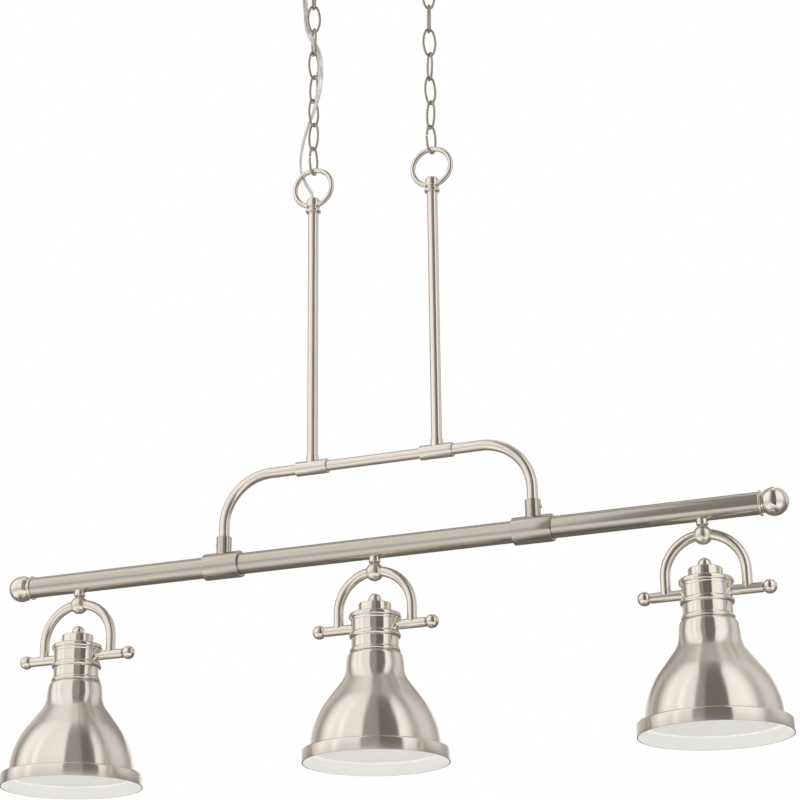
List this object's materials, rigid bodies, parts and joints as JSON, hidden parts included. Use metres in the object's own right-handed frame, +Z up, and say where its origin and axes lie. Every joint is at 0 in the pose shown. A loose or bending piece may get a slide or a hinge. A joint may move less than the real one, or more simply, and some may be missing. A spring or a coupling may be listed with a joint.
{
  "type": "linear island pendant",
  "caption": "Bar pendant hung on chains from an oblong canopy, with a bent tube handle and metal bell shades on swivelling yokes.",
  "frame": {"origin": "centre of the canopy's ceiling face", "axes": "+Z up to the ceiling, +X along the bar to the right, +Y to the back"},
  "size_m": [0.9629, 0.1666, 1.0673],
  "materials": {
    "brushed_nickel": "satin, brushed",
    "polished_nickel": "smooth, semi-polished",
    "chain_nickel": "satin",
    "zinc_steel": "plain",
    "shade_white": "smooth white enamel",
    "cord_plastic": "translucent silver plastic",
    "wire_plastic": "insulation",
    "holder_white": "glazed porcelain",
    "brass": "plain"
  },
  "bodies": {
    "ceiling": {"ceiling_canopy": "brushed_nickel", "mounting_bracket": "zinc_steel", "canopy_screws": "polished_nickel", "ceiling_loops": "polished_nickel", "loop_nuts": "zinc_steel", "cord_bushing": "polished_nickel"},
    "top_links": {"top_links": "chain_nickel"},
    "left_chain": {"left_chain": "chain_nickel", "supply_cord": "cord_plastic"},
    "right_chain": {"right_chain": "chain_nickel"},
    "bar_frame": {"hanger_rings": "polished_nickel", "bead_collars": "polished_nickel", "stems": "brushed_nickel", "handle": "brushed_nickel", "bar_sleeves": "brushed_nickel", "main_sleeves": "brushed_nickel", "set_screws": "zinc_steel", "main_tube": "brushed_nickel", "end_rings": "polished_nickel", "end_balls": "polished_nickel", "lead_wires": "wire_plastic", "lamp_necks": "polished_nickel", "lamp_nipples": "zinc_steel"},
    "lamp_1_yoke": {"lamp_1_yoke_ball": "polished_nickel", "lamp_1_yoke_arms": "brushed_nickel", "lamp_1_crossbar": "brushed_nickel", "lamp_1_crossbar_finials": "polished_nickel"},
    "lamp_1_head": {"lamp_1_socket_cup": "polished_nickel", "lamp_1_cup_cap": "polished_nickel", "lamp_1_cap_finial": "polished_nickel", "lamp_1_shade": "brushed_nickel", "lamp_1_shade_lining": "shade_white", "lamp_1_lampholder": "holder_white", "lamp_1_screw_shell": "brass", "lamp_1_ring_nut": "zinc_steel"},
    "lamp_2_yoke": {"lamp_2_yoke_ball": "polished_nickel", "lamp_2_yoke_arms": "brushed_nickel", "lamp_2_crossbar": "brushed_nickel", "lamp_2_crossbar_finials": "polished_nickel"},
    "lamp_2_head": {"lamp_2_socket_cup": "polished_nickel", "lamp_2_cup_cap": "polished_nickel", "lamp_2_cap_finial": "polished_nickel", "lamp_2_shade": "brushed_nickel", "lamp_2_shade_lining": "shade_white", "lamp_2_lampholder": "holder_white", "lamp_2_screw_shell": "brass", "lamp_2_ring_nut": "zinc_steel"},
    "lamp_3_yoke": {"lamp_3_yoke_ball": "polished_nickel", "lamp_3_yoke_arms": "brushed_nickel", "lamp_3_crossbar": "brushed_nickel", "lamp_3_crossbar_finials": "polished_nickel"},
    "lamp_3_head": {"lamp_3_socket_cup": "polished_nickel", "lamp_3_cup_cap": "polished_nickel", "lamp_3_cap_finial": "polished_nickel", "lamp_3_shade": "brushed_nickel", "lamp_3_shade_lining": "shade_white", "lamp_3_lampholder": "holder_white", "lamp_3_screw_shell": "brass", "lamp_3_ring_nut": "zinc_steel"}
  },
  "joints": [
    {"name": "swing_fore_aft", "type": "hinge", "parent": "ceiling", "child": "top_links", "pos_m": [0, 0, -0.05075], "axis": [1, 0, 0], "range_deg": [-12, 12], "deforming": ["supply_cord"]},
    {"name": "left_chain_sway", "type": "hinge", "parent": "top_links", "child": "left_chain", "pos_m": [-0.0786, 0, -0.08275], "axis": [0, 1, 0], "range_deg": [-8, 8], "deforming": ["supply_cord"]},
    {"name": "right_chain_sway", "type": "hinge", "parent": "top_links", "child": "right_chain", "pos_m": [0.0786, 0, -0.08275], "axis": [0, 1, 0], "range_deg": [-8, 8]},
    {"name": "bar_levelling", "type": "hinge", "parent": "left_chain", "child": "bar_frame", "pos_m": [-0.0786, 0, -0.3223], "axis": [0, 1, 0], "range_deg": [-8, 8], "deforming": ["supply_cord"]},
    {"name": "lamp_1_swivel", "type": "hinge", "parent": "bar_frame", "child": "lamp_1_yoke", "pos_m": [-0.385, 0, -0.84675], "axis": [0, 0, 1], "range_deg": [-170, 170]},
    {"name": "lamp_1_tilt", "type": "hinge", "parent": "lamp_1_yoke", "child": "lamp_1_head", "pos_m": [-0.385, 0, -0.91175], "axis": [1, 0, 0], "range_deg": [-35, 35]},
    {"name": "lamp_2_swivel", "type": "hinge", "parent": "bar_frame", "child": "lamp_2_yoke", "pos_m": [0, 0, -0.84675], "axis": [0, 0, 1], "range_deg": [-170, 170]},
    {"name": "lamp_2_tilt", "type": "hinge", "parent": "lamp_2_yoke", "child": "lamp_2_head", "pos_m": [0, 0, -0.91175], "axis": [1, 0, 0], "range_deg": [-35, 35]},
    {"name": "lamp_3_swivel", "type": "hinge", "parent": "bar_frame", "child": "lamp_3_yoke", "pos_m": [0.385, 0, -0.84675], "axis": [0, 0, 1], "range_deg": [-170, 170]},
    {"name": "lamp_3_tilt", "type": "hinge", "parent": "lamp_3_yoke", "child": "lamp_3_head", "pos_m": [0.385, 0, -0.91175], "axis": [1, 0, 0], "range_deg": [-35, 35]}
  ],
  "couplings": [
    {"joint": "left_chain_sway", "follows": "bar_levelling", "ratio": -1},
    {"joint": "right_chain_sway", "follows": "bar_levelling", "ratio": -1}
  ]
}
